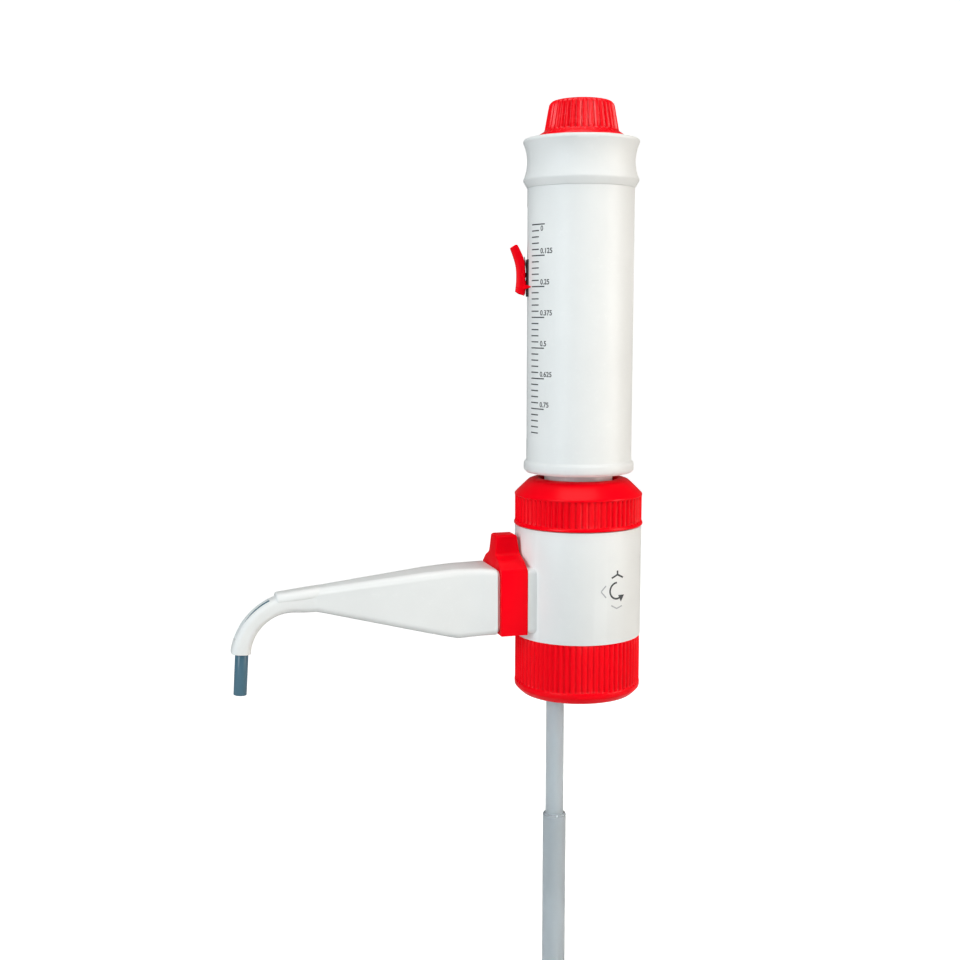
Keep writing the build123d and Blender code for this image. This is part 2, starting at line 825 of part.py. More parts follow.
with BuildPart() as sleeve_head:
    head_bore_r = head_waist_r - head_wall
    with BuildSketch(Plane.XZ):
        with BuildLine():
            lip = (head_lip_r, sleeve_top + head_lip_rise)
            waist = (head_waist_r, sleeve_top + head_waist_rise)
            brow = (head_shoulder_r, sleeve_top + head_shoulder_rise)
            crown_edge = (head_top_r, head_top)
            Line((sleeve_r, sleeve_top), lip)
            ThreePointArc(lip, waist, brow)
            crown_mid_r = (brow[0] + crown_edge[0]) / 2 + head_crown_round
            crown_mid = (crown_mid_r, (brow[1] + crown_edge[1]) / 2 + head_crown_round)
            ThreePointArc(brow, crown_mid, crown_edge)
            Polyline(
                crown_edge,
                (stem_r + slip, head_top),
                (stem_r + slip, web_bottom),
                (head_bore_r, web_bottom),
                (head_bore_r, sleeve_top - head_plug_depth),
                (sleeve_bore_r - seat, sleeve_top - head_plug_depth),
                (sleeve_bore_r - seat, sleeve_top),
                (sleeve_r, sleeve_top),
            )
        make_face()
    revolve(axis=Axis.Z)
sleeve_head.part.label = "sleeve_head"

# Knob

with BuildPart() as knob_flute:
    flute_low = Vector(knob_base_r, 0, knob_bottom + knob_base_rise)
    flute_high = Vector(knob_shoulder_r, 0, knob_bottom + knob_shoulder_rise)
    with BuildSketch(Plane(origin=flute_low, z_dir=flute_high - flute_low)):
        Circle(flute_r)
    extrude(amount=(flute_high - flute_low).length + flute_r)

with BuildPart() as top_knob:
    with BuildSketch(Plane.XZ):
        with BuildLine():
            rim = (knob_flange_r, knob_bottom)
            skirt = (knob_flange_r - knob_flange_slope, knob_bottom + knob_flange_height)
            base = (knob_base_r, knob_bottom + knob_base_rise)
            shoulder = (knob_shoulder_r, knob_bottom + knob_shoulder_rise)
            dome_edge = (knob_dome_r, knob_top)
            dome_mid_r = (shoulder[0] + dome_edge[0]) / 2 + knob_dome_out
            dome_mid = (dome_mid_r, (shoulder[1] + dome_edge[1]) / 2 + knob_dome_up)
            Polyline((0, knob_bottom), rim, skirt, base, shoulder)
            ThreePointArc(shoulder, dome_mid, dome_edge)
            Polyline(dome_edge, (0, knob_top), (0, knob_bottom))
        make_face()
    revolve(axis=Axis.Z)
    with PolarLocations(0, knob_flutes):
        add(knob_flute.part, mode=Mode.SUBTRACT)
    revolve(rod_section(stem_r, stem_bottom, knob_bottom), axis=Axis.Z)
    insert_hole = rod_section(insert_r + seat, stem_bottom, stem_bottom + insert_length)
    revolve(insert_hole, axis=Axis.Z, mode=Mode.SUBTRACT)
top_knob.part.label = "top_knob"

with BuildPart() as knob_nut:
    revolve(ring(rod_screw_r + slip, insert_r, stem_bottom, stem_bottom + insert_length), axis=Axis.Z)
knob_nut.part.label = "knob_nut"

with BuildPart() as knob_clip:
    clip_top = web_bottom - end_gap
    revolve(ring(stem_r + seat, stem_r + clip_width, clip_top - clip_height, clip_top), axis=Axis.Z)
knob_clip.part.label = "knob_clip"

# Piston

seal_low = piston_bottom + (piston_length - rod_socket - piston_seal_height) / 2
seal_high = seal_low + piston_seal_height

with BuildPart() as piston:
    revolve(rod_section(piston_r, piston_bottom, piston_top), axis=Axis.Z)
    chamfer(piston.edges().group_by(Axis.Z)[0], length=piston_seal_depth / 2)
    groove_r = piston_r - piston_seal_depth
    revolve(ring(groove_r, piston_r + slip, seal_low, seal_high), axis=Axis.Z, mode=Mode.SUBTRACT)
    revolve(rod_section(rod_r + seat, piston_top - rod_socket, piston_top), axis=Axis.Z, mode=Mode.SUBTRACT)
piston.part.label = "piston"

with BuildPart() as piston_seal:
    revolve(ring(groove_r + seat, glass_bore_r - seat, seal_low + seat, seal_high - seat), axis=Axis.Z)
piston_seal.part.label = "piston_seal"

with BuildPart() as piston_rod:
    rod_top = stem_bottom - trim_room
    revolve(rod_section(rod_r, piston_top - rod_socket, rod_top), axis=Axis.Z)
    revolve(rod_section(rod_screw_r, rod_top, rod_top + rod_screw_length), axis=Axis.Z)
piston_rod.part.label = "piston_rod"

# Volume slider

neck_half = slot_width / 2 - neck_clearance
foot_outer_r = sleeve_bore_r - slip
leaf_low = pin_height + tongue_r + 2 * end_gap
leaf_knee = pointer_height + slider_neck_up
leaf_top = pointer_height + pointer_to_top + spring_reach
leaf_r = saddle_r - spring_thickness
leaf_back = [(leaf_r, leaf_low), (leaf_r, leaf_knee), (leaf_r + spring_rise, leaf_top)]

with BuildPart() as slider_carriage:
    with BuildSketch(slot_plane(pointer_height - pointer_to_bottom)):
        Circle(saddle_r)
        Circle(sleeve_r + slip, mode=Mode.SUBTRACT)
        with Locations((saddle_r, 0)):
            Rectangle(saddle_r, 2 * saddle_half, mode=Mode.INTERSECT)
    extrude(amount=pointer_to_top + pointer_to_bottom)
    with BuildSketch(slot_plane(pointer_height - foot_height_half)):
        Circle(foot_outer_r)
        Circle(foot_outer_r - foot_thickness, mode=Mode.SUBTRACT)
        with Locations((foot_outer_r, 0)):
            Rectangle(foot_outer_r, 2 * foot_half, mode=Mode.INTERSECT)
        nose_start = guide_r + nose_gap
        with Locations(((nose_start + foot_outer_r - foot_thickness / 2) / 2, 0)):
            Rectangle(foot_outer_r - foot_thickness / 2 - nose_start, 2 * nose_half)
    extrude(amount=2 * foot_height_half)
    with BuildSketch(slot_plane(pointer_height - slider_neck_down)):
        neck_start = foot_outer_r - foot_thickness / 2
        neck_end = sleeve_r + slip + saddle_height / 2
        with Locations(((neck_start + neck_end) / 2, 0)):
            Rectangle(neck_end - neck_start, 2 * neck_half)
    extrude(amount=slider_neck_up + slider_neck_down)
    with BuildSketch(slot_upright):
        with Locations((pin_radius, pin_height)):
            Circle(tongue_r)
        with Locations(((pin_radius + sleeve_r) / 2, pin_height)):
            Rectangle(pin_radius - sleeve_r, 2 * tongue_r)
    extrude(amount=tongue_half, both=True)
    with BuildSketch(slot_upright):
        with Locations((pin_radius, pin_height)):
            Circle(pin_r + seat)
    extrude(amount=2 * tongue_half, both=True, mode=Mode.SUBTRACT)
    # The pocket that the leaf spring lies in
    with BuildSketch(slot_upright):
        with BuildLine():
            pocket_floor = [(out - seat, up) for out, up in leaf_back]
            Polyline(
                (leaf_r - seat, leaf_low - seat),
                *pocket_floor,
                (leaf_r + thumb_half, leaf_top),
                (leaf_r + thumb_half, leaf_low - seat),
                close=True,
            )
        make_face()
    extrude(amount=tongue_half + seat, both=True, mode=Mode.SUBTRACT)
slider_carriage.part.label = "slider_carriage"

with BuildPart() as slider_pin:
    with BuildSketch(slot_upright):
        with Locations((pin_radius, pin_height)):
            Circle(pin_r)
    extrude(amount=thumb_half - end_gap, both=True)
slider_pin.part.label = "slider_pin"

# The thumb lever's side outline: (distance from the axis, height above the pointer)
thumb_back = [(26.3, 16.7), (24.4, 13.0), (23.5, 10.2), (23.25, 6.5), (23.25, 1.5), (23.7, -3.6)]
thumb_front = [(26.3, -2.8), (25.95, 0.0), (25.8, 3.6), (26.1, 7.8), (27.1, 11.5), (28.5, 15.3)]

with BuildPart() as slider_lever:
    with BuildSketch(slot_upright):
        with BuildLine():
            back = Spline(*[(out, pointer_height + up) for out, up in thumb_back])
            front = Spline(*[(out, pointer_height + up) for out, up in thumb_front])
            Line(back @ 1, front @ 0)
            Line(front @ 1, back @ 0)
        make_face()
    extrude(amount=thumb_half, both=True)
    fillet(slider_lever.edges().filter_by(lambda edge: edge.length > thumb_long_edge), radius=thumb_edge_r)
    with BuildSketch(slot_upright):
        with Locations((pin_radius, pin_height)):
            Circle(tongue_r + end_gap)
        with Locations(((pin_radius + sleeve_r) / 2, pin_height)):
            Rectangle(pin_radius - sleeve_r, 2 * tongue_r + 3 * end_gap)
    extrude(amount=thumb_groove_half, both=True, mode=Mode.SUBTRACT)
    with BuildSketch(slot_upright):
        with Locations((pin_radius, pin_height)):
            Circle(pin_r + slip)
    extrude(amount=2 * thumb_half, both=True, mode=Mode.SUBTRACT)
slider_lever.part.label = "slider_lever"


def pointer_section(angle, low, high, half_height):
    """A section across the pointer, on an upright plane through the axis."""
    around = radians(180 - slider_turn + angle)
    outward = Vector(cos(around), sin(around), 0)
    plane = Plane(origin=(0, 0, 0), x_dir=outward, z_dir=outward.cross(Vector(0, 0, 1)))
    with BuildSketch(plane) as outline:
        with Locations(((low + high) / 2, pointer_height)):
            Rectangle(high - low, 2 * half_height)
    return outline.sketch


with BuildPart() as slider_pointer:
    lift = saddle_r + slip
    tip_low = sleeve_r + pointer_tip_lift
    root_angle = degrees(asin((thumb_half + end_gap) / pointer_root_r))
    saddle_angle = degrees(asin((saddle_half + end_gap) / saddle_r))
    loft([
        pointer_section(root_angle, lift, pointer_root_r, pointer_root_half),
        pointer_section(saddle_angle, lift, pointer_root_r - pointer_draw_in, pointer_shoulder_half),
        pointer_section(pointer_tip_angle, tip_low, tip_low + pointer_tip_thickness, pointer_tip_half),
    ], ruled=True)
slider_pointer.part.label = "slider_pointer"

with BuildPart() as slider_spring:
    with BuildSketch(slot_upright):
        with BuildLine():
            leaf_face = [(out + spring_thickness, up) for out, up in reversed(leaf_back)]
            Polyline(*leaf_back, *leaf_face, close=True)
        make_face()
    extrude(amount=tongue_half, both=True)
slider_spring.part.label = "slider_spring"

parts = [
    bottle_collar, neck_gasket, swivel_ring, body_shell, valve_block, inlet_valve_seat, inlet_ball,
    filling_tube, filling_tube_lower, return_tube, ring_nut, guide_tube, glass_cylinder, cylinder_seal,
    cylinder_cap, valve_lever, valve_spindle, spindle_seals, discharge_connector, outlet_valve_seat,
    outlet_ball, outlet_spring, spout_cover, discharge_tube, sleeve, guide_bush, sleeve_head, top_knob,
    knob_nut, knob_clip, piston, piston_seal, piston_rod, slider_carriage, slider_pin, slider_lever,
    slider_pointer, slider_spring,
]
os.makedirs("parts", exist_ok=True)
for piece in parts:
    export_step(piece.part, "parts/" + piece.part.label + ".step")
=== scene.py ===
from math import atan2, cos, pi, radians, sin, sqrt

import bpy
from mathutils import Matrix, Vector


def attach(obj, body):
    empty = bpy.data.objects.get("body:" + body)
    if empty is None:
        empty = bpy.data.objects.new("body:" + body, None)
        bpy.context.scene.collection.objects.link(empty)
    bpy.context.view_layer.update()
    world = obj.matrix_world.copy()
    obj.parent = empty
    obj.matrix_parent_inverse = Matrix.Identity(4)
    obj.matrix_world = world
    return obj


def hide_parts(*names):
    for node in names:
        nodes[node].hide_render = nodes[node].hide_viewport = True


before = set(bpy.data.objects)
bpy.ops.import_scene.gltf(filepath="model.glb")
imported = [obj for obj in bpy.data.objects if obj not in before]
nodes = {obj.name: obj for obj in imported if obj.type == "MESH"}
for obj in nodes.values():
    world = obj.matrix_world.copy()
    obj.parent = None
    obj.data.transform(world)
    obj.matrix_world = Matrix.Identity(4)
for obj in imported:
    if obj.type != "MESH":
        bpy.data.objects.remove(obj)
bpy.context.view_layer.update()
mm = 0.001

# ---------------------------------------------------------------------------
# Studio
# A pale sweep of paper that runs from under the tubes up behind the dispenser, lit by one cool
# soft box on the left, a warmer one on the right and a broad one above.
# ---------------------------------------------------------------------------

scene = bpy.context.scene
scene.view_settings.view_transform = "Standard"
scene.view_settings.look = "None"

camera_data = bpy.data.cameras.new("camera")
camera_data.lens = 50
camera_data.sensor_width = 36
camera_data.clip_start = 0.01
camera_data.clip_end = 20
camera = bpy.data.objects.new("camera", camera_data)
scene.collection.objects.link(camera)
camera.location = (-0.2023, -0.5339, 0.1451)
camera.rotation_euler = (radians(90 - 7.17), 0, radians(-16.5))
scene.camera = camera

world = bpy.data.worlds.new("studio")
scene.world = world
world.use_nodes = True
backing = world.node_tree.nodes["Background"]
backing.inputs["Color"].default_value = (0.93, 0.96, 1.0, 1)
backing.inputs["Strength"].default_value = 0.84


def soft_box(name, place, aim, width, height, power, colour):
    light = bpy.data.lights.new(name, "AREA")
    light.shape = "RECTANGLE"
    light.size = width
    light.size_y = height
    light.energy = power
    light.color = colour
    lamp = bpy.data.objects.new(name, light)
    scene.collection.objects.link(lamp)
    lamp.location = place
    lamp.rotation_euler = (Vector(aim) - Vector(place)).to_track_quat("-Z", "Y").to_euler()


soft_box("left box", (-1.15, -0.75, 0.45), (0, 0, 0.08), 0.5, 1.0, 13.8, (0.90, 0.97, 1.0))
soft_box("right box", (0.95, -0.65, 0.35), (0, 0, 0.10), 0.4, 1.0, 11.2, (1.0, 0.95, 0.88))
soft_box("top box", (-0.1, -0.2, 1.15), (0, 0, 0), 0.8, 0.8, 6.0, (1.0, 0.99, 0.97))

bpy.ops.object.select_all(action="DESELECT")
bpy.ops.mesh.primitive_plane_add(size=6, location=(0, 0, 0))
floor = bpy.context.object
floor.name = "paper_sweep"
bpy.ops.object.mode_set(mode="EDIT")
bpy.ops.mesh.select_all(action="SELECT")
bpy.ops.transform.translate(value=(0, 0, -0.193))
bpy.ops.object.mode_set(mode="OBJECT")
for edge in floor.data.edges:
    edge.select = all(floor.data.vertices[i].co.y > 2.9 for i in edge.vertices)
bpy.ops.object.mode_set(mode="EDIT")
bpy.ops.mesh.select_mode(type="EDGE")
bpy.ops.mesh.extrude_region_move(TRANSFORM_OT_translate={"value": (0, 0, 4)})
bpy.ops.object.mode_set(mode="OBJECT")
bend = floor.modifiers.new("sweep", "BEVEL")
bend.width = 1.4
bend.segments = 24
bend.limit_method = "ANGLE"
bpy.ops.object.modifier_apply(modifier="sweep")
bpy.ops.object.shade_smooth()
paper = bpy.data.materials.new("sweep paper")
paper.use_nodes = True
paper_tree = paper.node_tree
paper_shader = paper_tree.nodes["Principled BSDF"]
paper_shader.inputs["Roughness"].default_value = 0.85
paper_place = paper_tree.nodes.new("ShaderNodeTexCoord")
paper_noise = paper_tree.nodes.new("ShaderNodeTexNoise")
paper_noise.inputs["Scale"].default_value = 900
paper_ramp = paper_tree.nodes.new("ShaderNodeValToRGB")
paper_ramp.color_ramp.elements[0].color = (0.60, 0.60, 0.60, 1)
paper_ramp.color_ramp.elements[1].color = (0.63, 0.63, 0.63, 1)
paper_tree.links.new(paper_place.outputs["Object"], paper_noise.inputs["Vector"])
paper_tree.links.new(paper_noise.outputs["Fac"], paper_ramp.inputs["Fac"])
paper_tree.links.new(paper_ramp.outputs["Color"], paper_shader.inputs["Base Color"])
paper_tree.links.new(paper_ramp.outputs["Color"], paper_shader.inputs["Emission Color"])
# The camera sees the paper blown out to white, which adds no light to the dispenser
paper_ray = paper_tree.nodes.new("ShaderNodeLightPath")
paper_glow = paper_tree.nodes.new("ShaderNodeMath")
paper_glow.operation = "MULTIPLY"
paper_glow.inputs[1].default_value = 1.5
paper_tree.links.new(paper_ray.outputs["Is Camera Ray"], paper_glow.inputs[0])
paper_tree.links.new(paper_glow.outputs[0], paper_shader.inputs["Emission Strength"])
floor.data.materials.append(paper)

# ---------------------------------------------------------------------------
# Bottle collar
# The red screw ring that holds the dispenser on the bottle. Injection-moulded plastic with fine
# upright ribs for the grip, a plain band and a chamfer below, and a coarse bottle thread inside.
# ---------------------------------------------------------------------------

surface = bpy.data.node_groups.new("moulded surface", "ShaderNodeTree")
for label, kind, value in (
    ("Colour", "NodeSocketColor", (0.8, 0.8, 0.8, 1)),
    ("Roughness", "NodeSocketFloat", 0.4),
    ("Stretch", "NodeSocketVector", (1, 1, 1)),
    ("Grain", "NodeSocketFloat", 1500),
    ("Depth", "NodeSocketFloat", 0.00001),
    ("Wear", "NodeSocketFloat", 0.3),
    ("Painted Groove Shade", "NodeSocketFloat", 0.0),
):
    socket = surface.interface.new_socket(name=label, in_out="INPUT", socket_type=kind)
    socket.default_value = value
for label, kind in (
    ("Colour", "NodeSocketColor"),
    ("Roughness", "NodeSocketFloat"),
    ("Normal", "NodeSocketVector"),
):
    surface.interface.new_socket(name=label, in_out="OUTPUT", socket_type=kind)


def add_node(tree, kind, **settings):
    """A new node with its settings and the constants of its sockets."""
    node = tree.nodes.new(kind)
    for key, value in settings.items():
        if hasattr(node, key):
            setattr(node, key, value)
        else:
            node.inputs[key.replace("_", " ")].default_value = value
    return node


def map_range(tree, value, low, high, to_low, to_high):
    """The value spread from one range to another."""
    node = add_node(tree, "ShaderNodeMapRange")
    for place, number in enumerate((low, high, to_low, to_high)):
        node.inputs[place + 1].default_value = number
    tree.links.new(value, node.inputs[0])
    return node.outputs[0]


def calc(tree, operation, first, second):
    """A sum or product of two sockets, or of a socket and a number."""
    node = add_node(tree, "ShaderNodeMath", operation=operation)
    for place, term in enumerate((first, second)):
        if isinstance(term, (int, float)):
            node.inputs[place].default_value = term
        else:
            tree.links.new(term, node.inputs[place])
    return node.outputs[0]


group_in = surface.nodes.new("NodeGroupInput")
group_out = surface.nodes.new("NodeGroupOutput")
position = surface.nodes.new("ShaderNodeTexCoord")
shape = surface.nodes.new("ShaderNodeNewGeometry")
stretched = add_node(surface, "ShaderNodeVectorMath", operation="MULTIPLY")
surface.links.new(position.outputs["Object"], stretched.inputs[0])
surface.links.new(group_in.outputs["Stretch"], stretched.inputs[1])
tone_noise = add_node(surface, "ShaderNodeTexNoise", Scale=34, Detail=3)
surface.links.new(position.outputs["Object"], tone_noise.inputs["Vector"])
tone = map_range(surface, tone_noise.outputs["Fac"], 0.3, 0.7, 0.975, 1.02)
scuff_noise = add_node(surface, "ShaderNodeTexNoise", Scale=420, Detail=6, Roughness=0.7)
surface.links.new(stretched.outputs[0], scuff_noise.inputs["Vector"])
scuff = map_range(surface, scuff_noise.outputs["Fac"], 0.56, 0.72, 0, 1)
rim = map_range(surface, shape.outputs["Pointiness"], 0.52, 0.60, 0, 1)
worn = calc(surface, "MULTIPLY", calc(surface, "MAXIMUM", scuff, rim), group_in.outputs["Wear"])
bright = calc(surface, "ADD", tone, calc(surface, "MULTIPLY", worn, 0.16))
# Painted shade: hollows such as the grooves between ribs are made darker in colour, by as much as
# the group's groove shade input asks
groove_shade_mask = map_range(surface, shape.outputs["Pointiness"], 0.42, 0.505, 1, 0)
painted_groove_darkening = calc(surface, "MULTIPLY", groove_shade_mask, group_in.outputs["Painted Groove Shade"])
shade = calc(surface, "SUBTRACT", bright, painted_groove_darkening)
tinted = add_node(surface, "ShaderNodeVectorMath", operation="SCALE")
surface.links.new(group_in.outputs["Colour"], tinted.inputs[0])
surface.links.new(shade, tinted.inputs["Scale"])
surface.links.new(tinted.outputs[0], group_out.inputs["Colour"])
matt = calc(surface, "ADD", group_in.outputs["Roughness"], calc(surface, "MULTIPLY", worn, 0.35))
surface.links.new(matt, group_out.inputs["Roughness"])
grain_noise = add_node(surface, "ShaderNodeTexNoise", Detail=3)
surface.links.new(stretched.outputs[0], grain_noise.inputs["Vector"])
surface.links.new(group_in.outputs["Grain"], grain_noise.inputs["Scale"])
relief = add_node(surface, "ShaderNodeBump", Strength=0.6)
surface.links.new(grain_noise.outputs["Fac"], relief.inputs["Height"])
surface.links.new(group_in.outputs["Depth"], relief.inputs["Distance"])
surface.links.new(relief.outputs["Normal"], group_out.inputs["Normal"])


def material(
    name, colour, roughness, grain, depth, wear, stretch=(1, 1, 1), painted_groove_shade=0, **shader_values
):
    """A material whose colour, roughness and relief come from the shared surface group; its colour
    can carry painted shade in hollows.
    """
    made = bpy.data.materials.new(name)
    made.use_nodes = True
    tree = made.node_tree
    shader = tree.nodes["Principled BSDF"]
    detail = tree.nodes.new("ShaderNodeGroup")
    detail.node_tree = surface
    detail.inputs["Colour"].default_value = (*colour, 1)
    detail.inputs["Roughness"].default_value = roughness
    detail.inputs["Stretch"].default_value = stretch
    detail.inputs["Grain"].default_value = grain
    detail.inputs["Depth"].default_value = depth
    detail.inputs["Wear"].default_value = wear
    detail.inputs["Painted Groove Shade"].default_value = painted_groove_shade
    tree.links.new(detail.outputs["Colour"], shader.inputs["Base Color"])
    tree.links.new(detail.outputs["Roughness"], shader.inputs["Roughness"])
    tree.links.new(detail.outputs["Normal"], shader.inputs["Normal"])
    for key, value in shader_values.items():
        shader.inputs[key.replace("_", " ")].default_value = value
    return made


def dress(piece, look):
    """Gives a piece its one material."""
    piece.data.materials.clear()
    piece.data.materials.append(look)


red_plastic = material(
    "red moulded plastic", (0.95, 0.0, 0.008), 0.34, 2600, 0.00001, 0.2,
    Specular_IOR_Level=0.07,
)
# The ribbed red is the red plastic with painted shade darkening the grooves between its ribs
ribbed_red = material(
    "red ribbed plastic", (0.98, 0.0, 0.008), 0.28, 2600, 0.000008, 0.3, painted_groove_shade=0.32,
    Specular_IOR_Level=0.10,
)


longest_step = 0.35     # how far a corner may be eased, as a share of its side


def eased(outline, edge):
    """The outline with two points round each corner, so that it smooths to a small radius."""
    points = []
    count = len(outline)
    for place in range(count):
        here = Vector(outline[place][:2])
        before = Vector(outline[place - 1][:2]) - here
        after = Vector(outline[(place + 1) % count][:2]) - here
        share = outline[place][2]
        for way in (before, after):
            step = min(edge, longest_step * way.length)
            spot = here + way.normalized() * step
            points.append((spot.x, spot.y, share))
    return points


side_depth = 0.42       # depth of a groove's sides, as a share of its depth
same_place = 0.00001


def ribbed_ring(name, flutes, depth, outline, closed):
    """A turned piece with upright grooves, drawn out loop by loop.

    outline holds (radius, height, share of the groove's depth), in millimetres. Each groove takes
    four columns of points: its bottom, its two sides, and the crest between it and the next.
    """
    columns = 4 * flutes
    radius, height = outline[0][:2]
    bpy.ops.object.select_all(action="DESELECT")
    bpy.ops.mesh.primitive_circle_add(vertices=columns, radius=radius * mm, location=(0, 0, 0))
    ring = bpy.context.object
    ring.name = name
    ring.data.name = name
    bpy.ops.object.mode_set(mode="EDIT")
    bpy.ops.mesh.select_mode(type="VERT")
    bpy.ops.mesh.select_all(action="SELECT")
    bpy.ops.transform.translate(value=(0, 0, height * mm))
    for next_radius, next_height, _ in outline[1:]:
        rise = (0, 0, (next_height - height) * mm)
        bpy.ops.mesh.extrude_region_move(TRANSFORM_OT_translate={"value": rise})
        grow = next_radius / radius
        bpy.ops.transform.resize(value=(grow, grow, 1), center_override=(0, 0, 0))
        radius, height = next_radius, next_height
    if closed:
        bpy.ops.mesh.select_all(action="DESELECT")
        bpy.ops.mesh.select_non_manifold()
        bpy.ops.mesh.bridge_edge_loops()
    else:
        bpy.ops.mesh.edge_face_add()
        bpy.ops.mesh.select_all(action="DESELECT")
        bpy.ops.mesh.select_non_manifold()
        bpy.ops.mesh.edge_face_add()
    rows = [row for row in outline if row[2] > 0]
    for cut_columns, part in (((0,), 1), ((1, 3), side_depth)):
        for radius, height, share in rows:
            bpy.ops.mesh.select_all(action="DESELECT")
            bpy.ops.object.mode_set(mode="OBJECT")
            for point in ring.data.vertices:
                out = sqrt(point.co.x**2 + point.co.y**2)
                column = round(atan2(point.co.y, point.co.x) / (2 * pi) * columns)
                on_radius = abs(out - radius * mm) < same_place
                on_height = abs(point.co.z - height * mm) < same_place
                point.select = on_radius and on_height and column % 4 in cut_columns
            bpy.ops.object.mode_set(mode="EDIT")
            cut = 1 - depth * share * part / radius
            bpy.ops.transform.resize(value=(cut, cut, 1), center_override=(0, 0, 0))
    bpy.ops.mesh.select_all(action="SELECT")
    bpy.ops.mesh.normals_make_consistent(inside=False)
    bpy.ops.object.mode_set(mode="OBJECT")
    smooth = ring.modifiers.new("smooth", "SUBSURF")
    smooth.levels = 1
    smooth.render_levels = 1
    bpy.ops.object.modifier_apply(modifier="smooth")
    bpy.ops.object.shade_smooth()
    return ring


collar = ribbed_ring("screw_collar", 68, 1.1, eased([
    (22.75, -8.0, 0),
    (22.75, -18.7, 0),
    (24.4, -18.7, 0),
    (27.2, -15.9, 0),
    (27.2, -13.9, 0),
    (27.2, -13.1, 1),
    (27.2, 7.0, 1),
    (25.9, 7.0, 0),
    (14.8, 7.0, 0),
    (14.8, 3.0, 0),
    (22.75, 3.0, 0),
], 0.3), True)
dress(collar, ribbed_red)
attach(collar, "bottle_connection")
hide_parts("bottle_collar")

# The thread inside the collar: one ridge of a turn and a half, 4 mm from turn to turn
thread_start = (0, 0, -14.2 * mm)
bpy.ops.object.select_all(action="DESELECT")
bpy.ops.mesh.primitive_plane_add(size=1, location=(0, 0, 0))
thread = bpy.context.object
thread.name = "collar_thread"
bpy.ops.object.mode_set(mode="EDIT")
bpy.ops.mesh.select_all(action="SELECT")
bpy.ops.transform.rotate(value=radians(90), orient_axis="X", center_override=(0, 0, 0))
bpy.ops.transform.resize(value=(1.25 * mm, 1, 1.9 * mm), center_override=(0, 0, 0))
bpy.ops.transform.translate(value=(22.25 * mm, 0, -14.2 * mm))
bpy.ops.mesh.select_all(action="DESELECT")
bpy.ops.object.mode_set(mode="OBJECT")
for point in thread.data.vertices:
    point.select = point.co.x < 22 * mm
bpy.ops.object.mode_set(mode="EDIT")
bpy.ops.transform.resize(value=(1, 1, 0.45), center_override=thread_start)
bpy.ops.mesh.select_all(action="SELECT")
bpy.ops.mesh.delete(type="ONLY_FACE")
bpy.ops.object.mode_set(mode="OBJECT")
wind = thread.modifiers.new("wind", "SCREW")
wind.angle = radians(540)
wind.screw_offset = 6 * mm
wind.steps = 108
wind.render_steps = 108
wind.use_merge_vertices = True
wind.merge_threshold = 0.00001
bpy.ops.object.modifier_apply(modifier="wind")
bpy.ops.object.mode_set(mode="EDIT")
bpy.ops.mesh.select_all(action="SELECT")
bpy.ops.mesh.fill_holes(sides=0)
bpy.ops.mesh.select_all(action="SELECT")
bpy.ops.mesh.normals_make_consistent(inside=False)
bpy.ops.object.mode_set(mode="OBJECT")
bpy.ops.object.shade_smooth_by_angle(angle=radians(30))
dress(thread, red_plastic)
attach(thread, "bottle_connection")

# ---------------------------------------------------------------------------
# Neck gasket and swivel ring
# A flat seal of waxy fluoropolymer under the collar's web, and the snap ring of white plastic that
# keeps the collar on the head's spigot and lets it turn.
# ---------------------------------------------------------------------------

seal_plastic = material(
    "waxy seal plastic", (0.80, 0.80, 0.76), 0.42, 900, 0.00001, 0.2,
    Subsurface_Weight=0.08, Subsurface_Radius=(0.002, 0.002, 0.002), Subsurface_Scale=1.0,
)
inner_plastic = material(
    "machined white plastic", (0.70, 0.70, 0.67), 0.45, 1400, 0.00001, 0.3, stretch=(1, 1, 3),
)
dress(nodes["neck_gasket"], seal_plastic)
dress(nodes["swivel_ring"], inner_plastic)

# ---------------------------------------------------------------------------
# Body shell
# The white housing of the head, a moulded drum with a square pad on the spout's side where the
# dosing valve comes out. Its edges are broken a little, as on the moulding.
# ---------------------------------------------------------------------------

white_plastic = material(
    "white moulded plastic", (0.795, 0.805, 0.80), 0.45, 2200, 0.00001, 0.2,
    Coat_Weight=0.04, Coat_Roughness=0.4, Specular_IOR_Level=0.3,
)


def softened(node, name, edge, steps=2, angle=32):
    """A merged copy of a CAD node with its sharp edges rounded."""
    bpy.ops.object.select_all(action="DESELECT")
    copy = bpy.data.objects.new(name, nodes[node].data.copy())
    copy.data.name = name
    scene.collection.objects.link(copy)
    copy.select_set(True)
    bpy.context.view_layer.objects.active = copy
    bpy.ops.object.mode_set(mode="EDIT")
    bpy.ops.mesh.select_all(action="SELECT")
    bpy.ops.mesh.remove_doubles(threshold=0.000002)
    bpy.ops.mesh.dissolve_limited(angle_limit=radians(0.6))
    bpy.ops.mesh.normals_make_consistent(inside=False)
    bpy.ops.object.mode_set(mode="OBJECT")
    rounding = copy.modifiers.new("rounding", "BEVEL")
    rounding.width = edge * mm
    rounding.segments = steps
    rounding.limit_method = "ANGLE"
    rounding.angle_limit = radians(angle)
    bpy.ops.object.modifier_apply(modifier="rounding")
    bpy.ops.object.shade_smooth_by_angle(angle=radians(angle))
    return copy


body = softened("body_shell", "housing", 0.45, 3)
dress(body, white_plastic)
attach(body, "valve_body")
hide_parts("body_shell")

# ---------------------------------------------------------------------------
# Printed signs on the body
# Pad-printed signs beside the dosing valve, a dark mark upwards, a turning arrow, and two paler
# marks to the left and downwards. Each is a thin film of ink that follows the housing.
# ---------------------------------------------------------------------------

